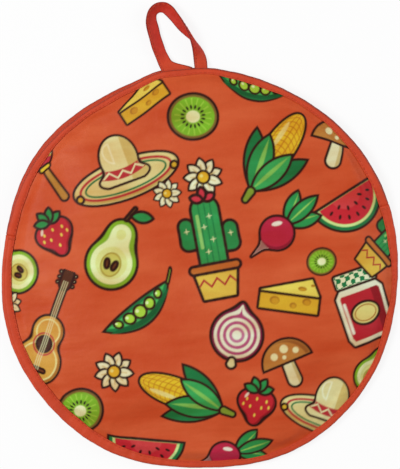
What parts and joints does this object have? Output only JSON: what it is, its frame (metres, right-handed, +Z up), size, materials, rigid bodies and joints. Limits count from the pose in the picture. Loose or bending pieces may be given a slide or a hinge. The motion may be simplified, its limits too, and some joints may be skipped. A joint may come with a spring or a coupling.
{
  "type": "fabric tortilla warmer",
  "caption": "Round padded cloth pouch that keeps flatbreads warm, with a bound mouth whose front lifts open and a hanging loop of folded tape.",
  "frame": {"origin": "middle of the flat underside, on the surface that the pouch lies on", "axes": "+Z up, out of the front; +Y from the middle towards the hanging loop; +X to the right as the front is seen"},
  "size_m": [0.305, 0.3578, 0.0192],
  "materials": {
    "printed_cover": "printed polyester cloth with a soft sheen",
    "batting": "white needled batting",
    "lining": "plain off-white lining cloth",
    "binding_tape": "plain woven bias tape",
    "loop_tape": "folded and stitched bias tape",
    "thread": "spun polyester thread"
  },
  "bodies": {
    "pouch": {"back_cover": "printed_cover", "back_batting": "batting", "back_lining": "lining", "front_cover": "printed_cover", "front_batting": "batting", "front_lining": "lining", "seam_binding": "binding_tape", "back_mouth_binding": "binding_tape", "seam_stitching_front": "thread", "seam_stitching_back": "thread", "back_mouth_stitching": "thread", "mouth_bartacks": "thread", "loop_tails": "loop_tape", "loop_bartacks": "thread"},
    "front_flap": {"flap_cover": "printed_cover", "flap_batting": "batting", "flap_lining": "lining", "front_mouth_binding": "binding_tape", "front_mouth_stitching": "thread"},
    "hanging_loop": {"hanging_loop": "loop_tape", "loop_edge_stitching": "thread"}
  },
  "joints": [
    {"name": "mouth_fold", "type": "hinge", "parent": "pouch", "child": "front_flap", "pos_m": [0, 0.03947, 0.0182], "axis": [1, 0, 0], "range_deg": [0, 75]},
    {"name": "loop_swing", "type": "hinge", "parent": "pouch", "child": "hanging_loop", "pos_m": [0, 0.1537, 0.0049], "axis": [1, 0, 0], "range_deg": [-80, 90]}
  ]
}
